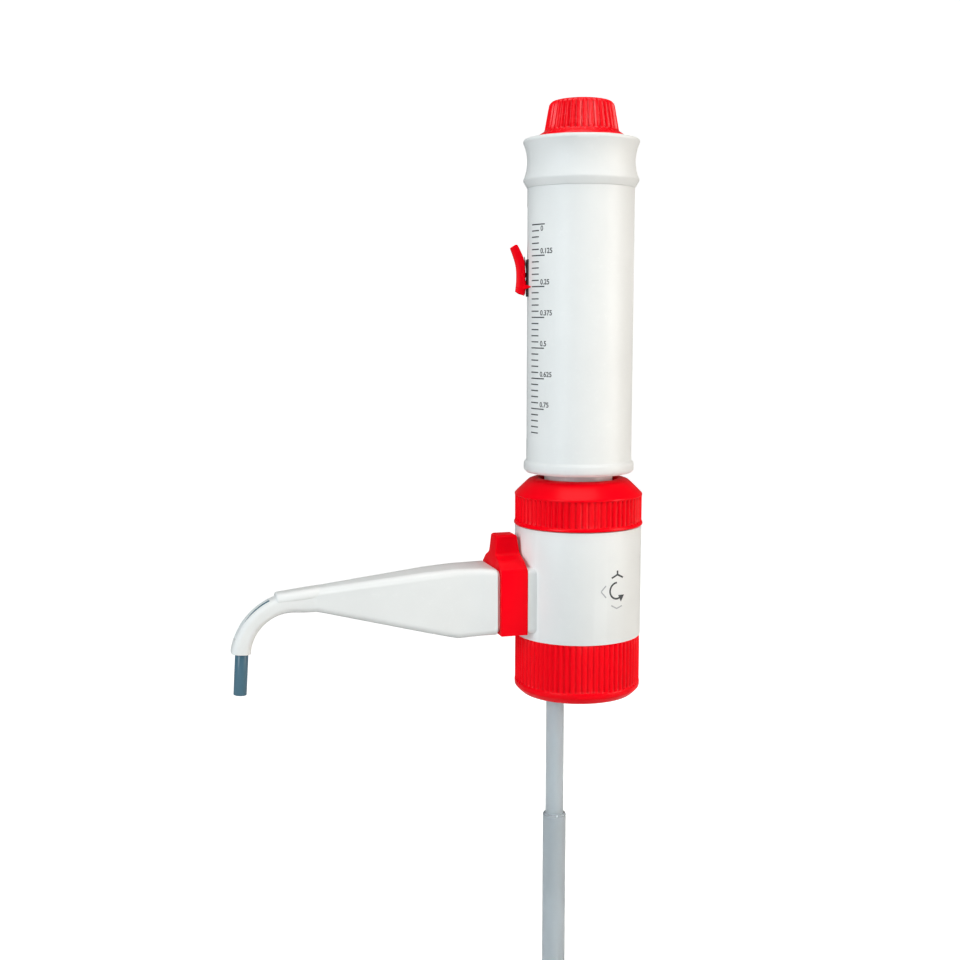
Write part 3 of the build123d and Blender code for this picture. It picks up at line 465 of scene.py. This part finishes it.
dark_ink = material("dark print", (0.045, 0.05, 0.055), 0.55, 3000, 0.000004, 0.15)
pale_ink = material("pale print", (0.42, 0.43, 0.45), 0.55, 3000, 0.000004, 0.15)
drum_r = 27.2


def on_drum(radius, angle, height):
    """A place on an upright drum, from its angle in degrees and its height in millimetres."""
    turn = radians(angle)
    return Vector((radius * cos(turn), radius * sin(turn), height)) * mm


def stroke(radius, start, end, width):
    """A flat stroke between two (angle, height) places on a drum, added to the open mesh."""
    first = on_drum(radius, *start)
    last = on_drum(radius, *end)
    middle_angle = (start[0] + end[0]) / 2
    middle = on_drum(radius, middle_angle, (start[1] + end[1]) / 2)
    run = last - first
    turn = radians(middle_angle + 90)
    across = Vector((cos(turn), sin(turn), 0)).dot(run)
    tilt = atan2(run.z, across)
    bpy.ops.mesh.primitive_grid_add(
        x_subdivisions=8, y_subdivisions=2, size=1, location=(0, 0, 0),
    )
    bpy.ops.transform.resize(value=(run.length, width * mm, 1), center_override=(0, 0, 0))
    bpy.ops.transform.rotate(value=-radians(90), orient_axis="X", center_override=(0, 0, 0))
    bpy.ops.transform.rotate(value=tilt, orient_axis="Y", center_override=(0, 0, 0))
    bpy.ops.transform.rotate(value=-turn, orient_axis="Z", center_override=(0, 0, 0))
    bpy.ops.transform.translate(value=middle)


def new_mark(name):
    """Opens an empty mesh for a printed mark."""
    bpy.ops.object.select_all(action="DESELECT")
    bpy.ops.mesh.primitive_plane_add(size=1, location=(0, 0, 0))
    mark = bpy.context.object
    mark.name = name
    mark.data.name = name
    bpy.ops.object.mode_set(mode="EDIT")
    bpy.ops.mesh.select_all(action="SELECT")
    bpy.ops.mesh.delete(type="VERT")
    return mark


film_lift = 0.02
film_thickness = 0.03


def print_on(mark, ground, look, body_name):
    """Lays a flat mark on the piece that carries it, as a thin film of ink."""
    wrap = mark.modifiers.new("wrap", "SHRINKWRAP")
    wrap.target = ground
    wrap.wrap_method = "NEAREST_SURFACEPOINT"
    wrap.wrap_mode = "ABOVE_SURFACE"
    wrap.offset = film_lift * mm
    film = mark.modifiers.new("film", "SOLIDIFY")
    film.thickness = film_thickness * mm
    film.offset = 1
    bpy.ops.object.modifier_apply(modifier="wrap")
    bpy.ops.object.modifier_apply(modifier="film")
    dress(mark, look)
    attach(mark, body_name)


up_sign = new_mark("sign_up")
stroke(drum_r, (-73.0, 36.4), (-73.1, 38.3), 0.8)
stroke(drum_r, (-72.6, 36.7), (-79.2, 35.3), 0.75)
stroke(drum_r, (-73.4, 36.7), (-66.6, 35.1), 0.75)
bpy.ops.object.mode_set(mode="OBJECT")
print_on(up_sign, body, dark_ink, "valve_body")

turn_sign = new_mark("sign_turn")
turn_angle = -73.6
turn_centre = on_drum(drum_r, turn_angle, 29.8)
turn_side = Vector((cos(radians(turn_angle + 90)), sin(radians(turn_angle + 90)), 0))
bpy.ops.mesh.primitive_circle_add(
    vertices=48, radius=3.05 * mm, location=turn_centre,
    rotation=(radians(90), 0, radians(turn_angle + 90)),
)
bpy.ops.mesh.extrude_region_move()
bpy.ops.transform.resize(value=(1.25, 1.25, 1.25), center_override=turn_centre)
bpy.ops.mesh.select_all(action="DESELECT")
bpy.ops.object.mode_set(mode="OBJECT")
for point in turn_sign.data.vertices:
    away = point.co - turn_centre
    point.select = -1.0 < atan2(away.z, turn_side.dot(away)) < 1.45
bpy.ops.object.mode_set(mode="EDIT")
bpy.ops.mesh.delete(type="VERT")
bpy.ops.mesh.primitive_circle_add(
    vertices=3, radius=1.95 * mm, fill_type="NGON", location=on_drum(drum_r, -68.6, 26.8),
    rotation=(radians(90), radians(62), radians(-68.6 + 90)),
)
bpy.ops.mesh.subdivide(number_cuts=3)
bpy.ops.object.mode_set(mode="OBJECT")
print_on(turn_sign, body, dark_ink, "valve_body")

side_sign = new_mark("sign_side")
stroke(drum_r, (-89.4, 30.0), (-84.9, 32.3), 0.52)
stroke(drum_r, (-89.4, 29.8), (-84.7, 27.2), 0.52)
stroke(drum_r, (-73.6, 22.2), (-79.4, 23.7), 0.52)
stroke(drum_r, (-73.6, 22.2), (-67.4, 23.1), 0.52)
bpy.ops.object.mode_set(mode="OBJECT")
print_on(side_sign, body, pale_ink, "valve_body")

# ---------------------------------------------------------------------------
# Valve block and filling valve
# The pale inner block that carries every passage, with the ceramic seat and ball of the filling
# valve pressed in from below.
# ---------------------------------------------------------------------------

valve_ceramic = material(
    "ground ceramic", (0.72, 0.70, 0.64), 0.22, 4200, 0.000005, 0.1, Specular_IOR_Level=0.7,
)
dress(nodes["valve_block"], inner_plastic)
dress(nodes["inlet_valve_seat"], valve_ceramic)
dress(nodes["inlet_ball"], valve_ceramic)

# ---------------------------------------------------------------------------
# Tubes that hang in the bottle
# Extruded fluoropolymer tube, clouded and faintly blue, with the draw lines of the die. The lower
# half slides on the upper one so that it reaches the floor of the bottle.
# ---------------------------------------------------------------------------

clear_tube = material(
    "clouded tube", (0.80, 0.86, 0.90), 0.24, 1300, 0.00002, 0.35, stretch=(1, 1, 0.03),
    Transmission_Weight=0.62, IOR=1.36, Specular_IOR_Level=0.5,
)
dress(nodes["filling_tube"], clear_tube)
dress(nodes["filling_tube_lower"], clear_tube)
dress(nodes["return_tube"], clear_tube)

# ---------------------------------------------------------------------------
# Clamp ring
# The red ring above the housing, moulded like the collar. Its ribs stop at a cone that closes in
# round the guide tube, and a smooth band runs round its foot.
# ---------------------------------------------------------------------------

clamp = ribbed_ring("clamp_ring_ribbed", 64, 1.1, eased([
    (24.08, 62.0, 0),
    (24.08, 54.8, 0),
    (27.7, 54.8, 0),
    (27.7, 55.9, 0),
    (27.4, 56.2, 0),
    (27.4, 56.7, 1),
    (27.4, 67.1, 1),
    (27.4, 67.8, 0),
    (27.4, 68.3, 0),
    (21.4, 74.2, 0),
    (17.0, 75.2, 0),
    (17.0, 69.2, 0),
    (24.08, 69.2, 0),
], 0.35), True)
dress(clamp, ribbed_red)
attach(clamp, "clamp_ring")
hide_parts("ring_nut")

# ---------------------------------------------------------------------------
# Measuring cylinder and guide tube
# A drawn glass cylinder on its seal, with a plastic cap round its open end, inside the smooth tube
# that the sleeve rides on.
# ---------------------------------------------------------------------------

guide_plastic = material(
    "smooth guide plastic", (0.80, 0.80, 0.80), 0.3, 1600, 0.000008, 0.3, stretch=(1, 1, 0.08),
    Coat_Weight=0.1, Coat_Roughness=0.25,
)
measuring_glass = material(
    "drawn glass", (0.93, 0.97, 0.97), 0.04, 500, 0.000004, 0.05, stretch=(1, 1, 0.02),
    Transmission_Weight=0.95, IOR=1.47,
)
dress(nodes["guide_tube"], guide_plastic)
dress(nodes["glass_cylinder"], measuring_glass)
dress(nodes["cylinder_seal"], seal_plastic)
dress(nodes["cylinder_cap"], inner_plastic)

# ---------------------------------------------------------------------------
# Dosing valve
# The red lever block turns the hollow plug behind it. Its top draws in to a thumb fin, and its
# edges are well rounded. The plug is white plastic with two black rubber rings.
# ---------------------------------------------------------------------------

seal_rubber = material("black rubber", (0.022, 0.022, 0.024), 0.62, 1800, 0.00002, 0.3)
lever = softened("valve_lever", "lever_block", 0.7, 3, 30)
dress(lever, red_plastic)
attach(lever, "dosing_valve")
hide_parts("valve_lever")
dress(nodes["valve_spindle"], inner_plastic)
dress(nodes["spindle_seals"], seal_rubber)

# ---------------------------------------------------------------------------
# Discharge valve
# The fixed connector through the plug, and in it the ceramic seat and ball with the fine steel
# spring that keeps the ball shut.
# ---------------------------------------------------------------------------

spring_steel = material(
    "drawn spring steel", (0.62, 0.62, 0.63), 0.28, 2600, 0.00001, 0.3, stretch=(0.1, 1, 1),
    Metallic=1.0,
)
dress(nodes["discharge_connector"], inner_plastic)
dress(nodes["outlet_valve_seat"], valve_ceramic)
dress(nodes["outlet_ball"], valve_ceramic)
dress(nodes["outlet_spring"], spring_steel)

# ---------------------------------------------------------------------------
# Spout cover
# A long white moulding that tapers from the valve to the bend and turns down. A slot along the
# outside of the bend shows the tube inside.
# ---------------------------------------------------------------------------

spout = softened("spout_cover", "spout_shell", 0.35, 2, 28)
dress(spout, white_plastic)
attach(spout, "valve_body")
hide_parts("spout_cover")

# The roof of the cover over the start of the bend: the straight top goes on to a small step
roof_length = 18.6
roof_width = 10.7
roof_depth = 4.0
roof_reach = 121.8      # its middle, from the dispenser's axis
roof_height = 31.83
roof_fall = 1.9
roof_taper = 0.89
roof_corner = 2.8
bpy.ops.object.select_all(action="DESELECT")
bpy.ops.mesh.primitive_cube_add(size=1, location=(0, 0, 0))
roof = bpy.context.object
roof.name = "spout_roof"
roof.data.name = "spout_roof"
bpy.ops.object.mode_set(mode="EDIT")
bpy.ops.mesh.select_all(action="SELECT")
bpy.ops.transform.resize(
    value=(roof_length * mm, roof_width * mm, roof_depth * mm), center_override=(0, 0, 0),
)
bpy.ops.transform.translate(value=(-roof_reach * mm, 0, roof_height * mm))
bpy.ops.mesh.select_all(action="DESELECT")
bpy.ops.object.mode_set(mode="OBJECT")
for point in roof.data.vertices:
    point.select = point.co.x < -roof_reach * mm
bpy.ops.object.mode_set(mode="EDIT")
bpy.ops.transform.translate(value=(0, 0, -roof_fall * mm))
bpy.ops.transform.resize(value=(1, roof_taper, 1), center_override=(0, 0, 0))
bpy.ops.mesh.select_mode(type="EDGE")
bpy.ops.mesh.select_all(action="DESELECT")
bpy.ops.object.mode_set(mode="OBJECT")
for edge in roof.data.edges:
    first, last = (roof.data.vertices[i].co for i in edge.vertices)
    lengthwise = abs(first.x - last.x) > roof_length / 2 * mm
    edge.select = lengthwise and (first.z + last.z) / 2 > (roof_height - roof_fall / 2) * mm
bpy.ops.object.mode_set(mode="EDIT")
bpy.ops.mesh.bevel(offset=roof_corner * mm, segments=6, affect="EDGES")
bpy.ops.mesh.select_mode(type="VERT")
bpy.ops.object.mode_set(mode="OBJECT")
roof_rounding = roof.modifiers.new("rounding", "BEVEL")
roof_rounding.width = 1.0 * mm
roof_rounding.segments = 4
roof_rounding.limit_method = "ANGLE"
roof_rounding.angle_limit = radians(40)
bpy.ops.object.modifier_apply(modifier="rounding")
bpy.ops.object.shade_smooth_by_angle(angle=radians(40))
dress(roof, white_plastic)
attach(roof, "valve_body")

# ---------------------------------------------------------------------------
# Discharge tube
# Blue-grey fluoropolymer tube, drawn and bent warm, that ends in a plain cut tip below the cover.
# ---------------------------------------------------------------------------

blue_grey_tube = material(
    "blue-grey tube", (0.08, 0.18, 0.25), 0.25, 1500, 0.00001, 0.35, stretch=(1, 1, 0.05),
    Transmission_Weight=0.15, IOR=1.36, Coat_Weight=0.15, Coat_Roughness=0.2,
)
tip_tube = softened("discharge_tube", "spout_tube", 0.25, 2, 40)
dress(tip_tube, blue_grey_tube)
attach(tip_tube, "valve_body")
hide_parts("discharge_tube")

# ---------------------------------------------------------------------------
# Sleeve
# The long white tube that the user lifts, with a bead round its foot and the slot that the volume
# slider runs in. A plain bush inside its foot guides it.
# ---------------------------------------------------------------------------

sleeve = softened("sleeve", "dosing_tube", 0.3, 2, 30)
dress(sleeve, white_plastic)
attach(sleeve, "dosing_sleeve")
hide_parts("sleeve")
dress(nodes["guide_bush"], inner_plastic)

# ---------------------------------------------------------------------------
# Printed scale on the sleeve
# Thirty-five dark ticks beside the slot, every fifth one longer, with the volume in fluid ounces
# over each long tick.
# ---------------------------------------------------------------------------

sleeve_r = 22.5
zero_height = 180.95
tick_pitch = 2.53
slot_angle = 163.5
tick_start = slot_angle + 22.7
short_tick_end = slot_angle + 36.4
long_tick_end = slot_angle + 45.3
tick_width = 0.47

ticks = new_mark("scale_ticks")
for count in range(35):
    tick_height = zero_height - count * tick_pitch
    tick_end = long_tick_end if count % 5 == 0 else short_tick_end
    stroke(sleeve_r, (tick_start, tick_height), (tick_end, tick_height), tick_width)
bpy.ops.object.mode_set(mode="OBJECT")
print_on(ticks, sleeve, dark_ink, "dosing_sleeve")


number_angle = slot_angle + 39.0
number_size = 3.0
number_weight = 0.05
lighter_weight = 0.045  # for a number with a 6, which closes up before the other figures do


def printed_number(words, height, weight, name):
    """A number printed on the sleeve, from its left end and its foot."""
    bpy.ops.object.select_all(action="DESELECT")
    bpy.ops.object.text_add(
        location=on_drum(sleeve_r, number_angle, height),
        rotation=(radians(90), 0, radians(number_angle + 90)),
    )
    number = bpy.context.object
    number.name = name
    number.data.body = words
    number.data.size = number_size * mm
    number.data.offset = weight * mm
    bpy.ops.object.convert(target="MESH")
    bpy.ops.object.transform_apply(location=True, rotation=True, scale=True)
    bpy.ops.object.mode_set(mode="EDIT")
    bpy.ops.mesh.select_all(action="SELECT")
    bpy.ops.mesh.remove_doubles(threshold=0.000005)
    bpy.ops.mesh.subdivide(number_cuts=1)
    bpy.ops.object.mode_set(mode="OBJECT")
    print_on(number, sleeve, dark_ink, "dosing_sleeve")


printed_number("0", zero_height - 2.7, number_weight, "scale_number_0")
for step, words in enumerate(("0.125", "0.25", "0.375", "0.5", "0.625", "0.75")):
    number_height = zero_height - 5 * (step + 1) * tick_pitch + 0.85
    weight = lighter_weight if "6" in words else number_weight
    printed_number(words, number_height, weight, "scale_number_%d" % (step + 1))

# ---------------------------------------------------------------------------
# Sleeve head
# The waisted white grip on top of the sleeve, pushed in and snapped, with a rounded crown.
# ---------------------------------------------------------------------------

head = softened("sleeve_head", "grip_head", 0.5, 3, 28)
dress(head, white_plastic)
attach(head, "dosing_sleeve")
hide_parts("sleeve_head")

# ---------------------------------------------------------------------------
# Volume slider
# A black carriage clipped through the slot, a red thumb lever on a steel pin in front of it, the
# leaf spring between them, and a thin red pointer that reaches round to the ticks.
# ---------------------------------------------------------------------------

black_plastic = material("black moulded plastic", (0.016, 0.016, 0.018), 0.42, 2200, 0.00001, 0.3)
outward = Vector((cos(radians(slot_angle)), sin(radians(slot_angle)), 0))
across_slot = Vector((-outward.y, outward.x, 0))


def push_face(piece, least, way):
    """Moves the faces of a piece that look outward and stand at least so far out."""
    bpy.ops.object.mode_set(mode="EDIT")
    bpy.ops.mesh.select_mode(type="FACE")
    bpy.ops.mesh.select_all(action="DESELECT")
    bpy.ops.object.mode_set(mode="OBJECT")
    for face in piece.data.polygons:
        looks_out = face.normal.dot(outward) > 0.5
        face.select = looks_out and face.center.dot(outward) > least * mm
    bpy.ops.object.mode_set(mode="EDIT")
    bpy.ops.transform.translate(value=way)
    bpy.ops.mesh.select_mode(type="VERT")
    bpy.ops.object.mode_set(mode="OBJECT")


carriage = softened("slider_carriage", "slider_saddle", 0.12, 2, 35)
dress(carriage, black_plastic)
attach(carriage, "volume_slider")
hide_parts("slider_carriage")
# The lever's bar is drawn thicker on its outer side, longer at its top, and closer at its foot
thumb = softened("slider_lever", "slider_thumb_piece", 0.3, 2, 35)
push_face(thumb, 25.2, outward * 0.8 * mm)
thumb_top = max(point.co.z for point in thumb.data.vertices)
for point in thumb.data.vertices:
    point.select = point.co.z > thumb_top - 2.6 * mm
bpy.ops.object.mode_set(mode="EDIT")
bpy.ops.transform.translate(value=outward * 0.4 * mm + Vector((0, 0, 0.9 * mm)))
bpy.ops.mesh.select_all(action="DESELECT")
bpy.ops.object.mode_set(mode="OBJECT")
for point in thumb.data.vertices:
    point.select = point.co.z < 158 * mm and point.co.dot(outward) < 23.65 * mm
bpy.ops.object.mode_set(mode="EDIT")
bpy.ops.transform.translate(value=outward * -0.3 * mm)
bpy.ops.object.mode_set(mode="OBJECT")
dress(thumb, red_plastic)
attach(thumb, "slider_thumb")
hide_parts("slider_lever")

# Two small red plugs close the holes of the pin
pin_out = 24.2
pin_height = 160.65
plug_out = 3.44
plugs = new_mark("pin_plugs")
for side in (-1, 1):
    plug_place = outward * pin_out + across_slot * plug_out * side + Vector((0, 0, pin_height))
    bpy.ops.mesh.primitive_cylinder_add(
        vertices=32, radius=0.8 * mm, depth=0.24 * mm, location=plug_place * mm,
        rotation=(radians(90), 0, radians(slot_angle)),
    )
bpy.ops.object.mode_set(mode="OBJECT")
plug_rounding = plugs.modifiers.new("rounding", "BEVEL")
plug_rounding.width = 0.08 * mm
plug_rounding.segments = 2
plug_rounding.limit_method = "ANGLE"
bpy.ops.object.modifier_apply(modifier="rounding")
bpy.ops.object.shade_smooth_by_angle(angle=radians(35))
dress(plugs, red_plastic)
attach(plugs, "slider_thumb")
dress(nodes["slider_pointer"], red_plastic)
dress(nodes["slider_pin"], spring_steel)
dress(nodes["slider_spring"], spring_steel)

# ---------------------------------------------------------------------------
# Calibration knob
# The red knob on top, with a sloping foot, tapered ribs and a flat crown. Its stem goes down
# through the head to a turned brass nut and is kept by a white clip.
# ---------------------------------------------------------------------------

insert_brass = material(
    "turned brass", (0.66, 0.46, 0.17), 0.3, 1800, 0.00001, 0.3, stretch=(1, 1, 6), Metallic=1.0,
)
# The knob's red carries painted shade in the grooves between its ribs
glossy_red = material(
    "red knob plastic", (0.95, 0.0, 0.008), 0.26, 2600, 0.000008, 0.3, painted_groove_shade=0.36,
    Specular_IOR_Level=0.36,
)
knob = ribbed_ring("calibration_cap", 36, 1.25, eased([
    (5.03, 223.8, 0),
    (5.03, 209.8, 0),
    (7.0, 209.8, 0),
    (7.0, 216.8, 0),
    (18.4, 216.8, 0),
    (18.4, 217.9, 0),
    (16.7, 218.9, 0),
    (15.8, 219.5, 0),
    (15.7, 220.0, 1),
    (13.9, 230.1, 1),
    (13.3, 231.1, 0.7),
    (12.2, 231.9, 0.2),
    (10.4, 232.3, 0),
    (8.8, 232.4, 0),
    (4.0, 232.4, 0),
    (0.6, 232.4, 0),
], 0.3)[1:-1], False)
dress(knob, glossy_red)
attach(knob, "calibration_knob")
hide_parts("top_knob")
dress(nodes["knob_nut"], insert_brass)
dress(nodes["knob_clip"], inner_plastic)

# ---------------------------------------------------------------------------
# Piston
# A waxy fluoropolymer piston with a rubber ring in its groove, screwed on a white rod.
# ---------------------------------------------------------------------------

dress(nodes["piston"], seal_plastic)
dress(nodes["piston_seal"], seal_rubber)
dress(nodes["piston_rod"], inner_plastic)
